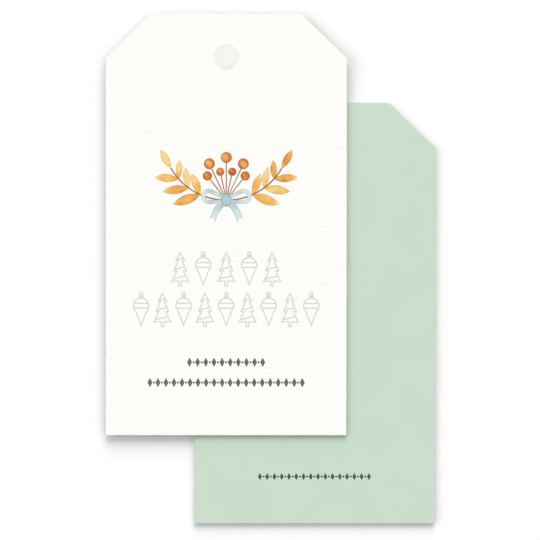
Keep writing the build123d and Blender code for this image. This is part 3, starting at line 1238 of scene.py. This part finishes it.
def lay_spray():
    """Lays the laurel spray: leaves under stems, and the berries and the bow over them."""
    branches = {"Stem Radius": STEM_ARC_RADIUS, "Stem Arc": STEM_ARC, "Depth": INK_DEPTH}
    leaf_values = {
        **branches,
        "First Pair": FIRST_PAIR, "Pairs": LEAF_PAIRS, "Leaf Length": LEAF_LENGTH, "Leaf Width": LEAF_WIDTH,
        "Spread": LEAF_SPREAD, "Seat": LEAF_SEAT, "Inner Share": INNER_LEAF_SHARE,
        "Tip Share": TIP_LEAF_SHARE, "Seed": LEAF_SEED, "Ink": LEAF_INK,
    }
    stem_values = {
        **branches,
        "Stem Line": STEM_LINE, "Stalk Foot": STALK_FOOT, "Stalk Line": STALK_LINE, "Ink": STEM_INK,
    }
    berry_values = {"Radius": BERRY_RADIUS, "Depth": INK_DEPTH, "Seed": BERRY_SEED, "Ink": BERRY_INK}
    bow_values = {"Depth": INK_DEPTH, "Ink": BOW_INK}
    places = berry_points()
    leaves = grown_mesh(leaf_tree(), leaf_values)
    stems = grown_mesh(stem_tree(), stem_values, places)
    berries = grown_mesh(berry_tree(), berry_values, places)
    bow = grown_mesh(drawing_tree(), bow_values, bow_mesh())
    lay_print("leaves", "leaf_print", leaves, KNOT_Y, LEAF_LEVEL)
    lay_print("stems", "stem_print", stems, KNOT_Y, STEM_LEVEL)
    lay_print("berries", "berry_print", berries, KNOT_Y)
    lay_print("bow", "bow_print", bow, KNOT_Y)


def lay_ornaments():
    """Lays the two rows of ornaments, the top one starting with a tree and the bottom one with a drop."""
    row = ornament_tree()
    tree = link_object("fir tree", fir_tree_mesh())
    drop = link_object("glass drop", glass_drop_mesh())
    ink = {"Depth": INK_DEPTH, "Ink": ORNAMENT_INK}
    top_span = TOP_ROW_WIDTH - TREE_WIDTH
    bottom_span = BOTTOM_ROW_WIDTH - 2 * BALL_RADIUS
    top_values = {"First": tree, "Second": drop, "Count": TOP_ROW_COUNT, "Span": top_span, **ink}
    bottom_values = {"First": drop, "Second": tree, "Count": BOTTOM_ROW_COUNT, "Span": bottom_span, **ink}
    top = grown_mesh(row, top_values)
    bottom = grown_mesh(row, bottom_values)
    lay_print("top_ornaments", "ornament_top_row", top, TOP_ROW_FOOT)
    lay_print("bottom_ornaments", "ornament_bottom_row", bottom, BOTTOM_ROW_FOOT)
    for pattern in (tree, drop):
        bpy.data.objects.remove(pattern)


def lay_lozenges():
    """Lays a short and a long line of lozenges on each face, and a small one on each back."""
    line = lozenge_tree()
    face_values = {
        "Lozenge Width": LOZENGE_WIDTH, "Lozenge Height": LOZENGE_HEIGHT, "Dot Diameter": DOT_DIAMETER,
        "Depth": INK_DEPTH, "Ink": LOZENGE_INK,
    }
    back_values = {
        "Lozenge Width": BACK_LOZENGE_WIDTH, "Lozenge Height": BACK_LOZENGE_HEIGHT,
        "Dot Diameter": BACK_DOT_DIAMETER, "Depth": INK_DEPTH, "Ink": BACK_LINE_INK,
    }
    short_span = SHORT_LINE_WIDTH - LOZENGE_WIDTH
    long_span = LONG_LINE_WIDTH - LOZENGE_WIDTH
    back_span = BACK_LINE_WIDTH - BACK_LOZENGE_WIDTH
    short = grown_mesh(line, {**face_values, "Count": SHORT_LINE_COUNT, "Span": short_span})
    long = grown_mesh(line, {**face_values, "Count": LONG_LINE_COUNT, "Span": long_span})
    back = grown_mesh(line, {**back_values, "Count": BACK_LINE_COUNT, "Span": back_span})
    lay_print("short_lozenges", "lozenge_short_line", short, SHORT_LINE_Y)
    lay_print("long_lozenges", "lozenge_long_line", long, LONG_LINE_Y)
    back.transform(Matrix.Translation((0, BACK_LINE_Y, 0)) @ FLIP_OVER)
    for tag in TAG_PLACES:
        lay("back_lozenges", "lozenge_back_line", back.copy(), tag)


# Floor, light and camera


def seen_directly(tree):
    """1 for what the camera sees, straight or by gloss or glass, and 0 for light that falls on things."""
    path = add_node(tree, "ShaderNodeLightPath")
    rays = [Field(path.outputs[f"Is {kind} Ray"]) for kind in ("Camera", "Glossy", "Transmission")]
    return rays[0].math("MAXIMUM", rays[1]).math("MAXIMUM", rays[2])


def hole_glow(tree):
    """Painted light: a glow under the upper tag's hole, stronger where its rim shades the floor, so that it
    looks even.
    """
    lit_spot = TAG_PLACES["upper"] @ (HOLE_CENTRE + Vector(LIT_SPOT_SHARES) * HOLE_RADIUS).to_3d()
    lit_spot.z = -FLOOR_DROP
    ends = {0: object_place(tree), 1: lit_spot}
    distance = new_field(tree, "ShaderNodeVectorMath", ends, output="Value", operation="DISTANCE")
    reach = distance / HOLE_RADIUS
    shade = smooth_step(reach, *SHADE_RISE_SHARES)
    under_hole = 1 - smooth_step(reach, *GLOW_FADE_SHARES)
    return under_hole * (shade * HOLE_SHADE_GLOW + HOLE_GLOW)


def floor_material():
    """White paper that glows a little for the camera, so that it stays white and keeps the shadows, and
    glows more under the upper hole: painted light that evens out the hole's shade.
    """
    material = bpy.data.materials.new("white floor")
    material.use_nodes = True
    tree = material.node_tree
    shader = tree.nodes["Principled BSDF"]
    seen = seen_directly(tree)
    whiteness = seen * (FLOOR_WHITE - FLOOR_BOUNCE) + FLOOR_BOUNCE
    plug(shader.inputs["Base Color"], vector(tree, whiteness, whiteness, whiteness))
    shader.inputs["Roughness"].default_value = 1.0
    shader.inputs["Specular IOR Level"].default_value = 0.0
    shader.inputs["Emission Color"].default_value = GLOW_TONE
    plug(shader.inputs["Emission Strength"], seen * (hole_glow(tree) + FLOOR_GLOW))
    return material


def add_floor():
    half = FLOOR_HALF_SIZE
    corners = [(-half, -half), (half, -half), (half, half), (-half, half)]
    mesh = bpy.data.meshes.new("floor")
    mesh.from_pydata([(x, y, -FLOOR_DROP) for x, y in corners], [], [(0, 1, 2, 3)])
    mesh.materials.append(floor_material())
    floor_object = link_object("floor", mesh)


def add_light():
    """A white sky, and soft lamps low around the tags, the strongest at their hole end."""
    world = bpy.data.worlds.new("studio")
    bpy.context.scene.world = world
    world.use_nodes = True
    tree = world.node_tree
    sky = tree.nodes["Background"]
    sky.inputs["Color"].default_value = SKY_TONE
    plug(sky.inputs["Strength"], seen_directly(tree) * (1.0 - SKY_LEVEL) + SKY_LEVEL)
    for name, setting in LAMPS.items():
        lean = radians(setting["lean"])
        sun = bpy.data.lights.new(name, "SUN")
        sun.energy = setting["share"] * pi / cos(lean)
        sun.angle = radians(setting["spread"])
        lamp = link_object(name, sun)
        lamp.rotation_euler = (-lean, 0, radians(setting["turn"]))


def add_camera():
    view = bpy.data.cameras.new("camera")
    view.lens = CAMERA_LENS_MM
    camera = link_object("camera", view)
    camera.location = CAMERA_PLACE
    camera.rotation_euler = [radians(turn) for turn in CAMERA_TURN_DEG]
    bpy.context.scene.camera = camera


lay_papers()
lay_spray()
lay_ornaments()
lay_lozenges()
add_floor()
add_light()
add_camera()
bpy.context.scene.view_settings.view_transform = "Standard"
